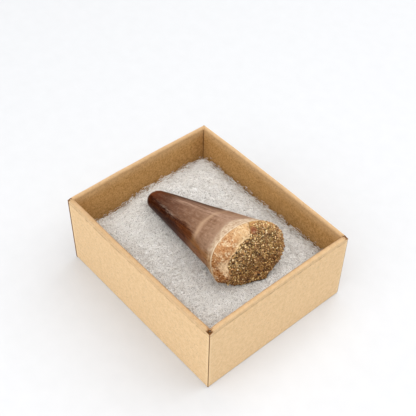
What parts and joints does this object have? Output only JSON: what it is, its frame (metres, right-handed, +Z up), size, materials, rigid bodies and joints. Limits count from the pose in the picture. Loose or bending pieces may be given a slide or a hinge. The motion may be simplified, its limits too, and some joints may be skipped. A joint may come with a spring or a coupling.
{
  "type": "fossil mosasaur tooth on batting in a kraft tray",
  "caption": "Conical fossil reptile tooth with a rock-crusted broken base, lying on soft batting in a small open folded kraft tray.",
  "frame": {"origin": "middle of the tray's underside, on the surface that it stands on", "axes": "+X along the tray's long side, from the tooth's tip towards its broken base; +Y across the tray; +Z up"},
  "size_m": [0.077, 0.064, 0.0414],
  "materials": {
    "kraft_board": "matte",
    "batting": "matte",
    "fossil_enamel": "satin",
    "sandy_rock": "matte"
  },
  "bodies": {
    "root": {"kraft_tray": "kraft_board", "batting_pad": "batting", "tooth": "fossil_enamel", "rock_matrix": "sandy_rock"}
  },
  "joints": []
}
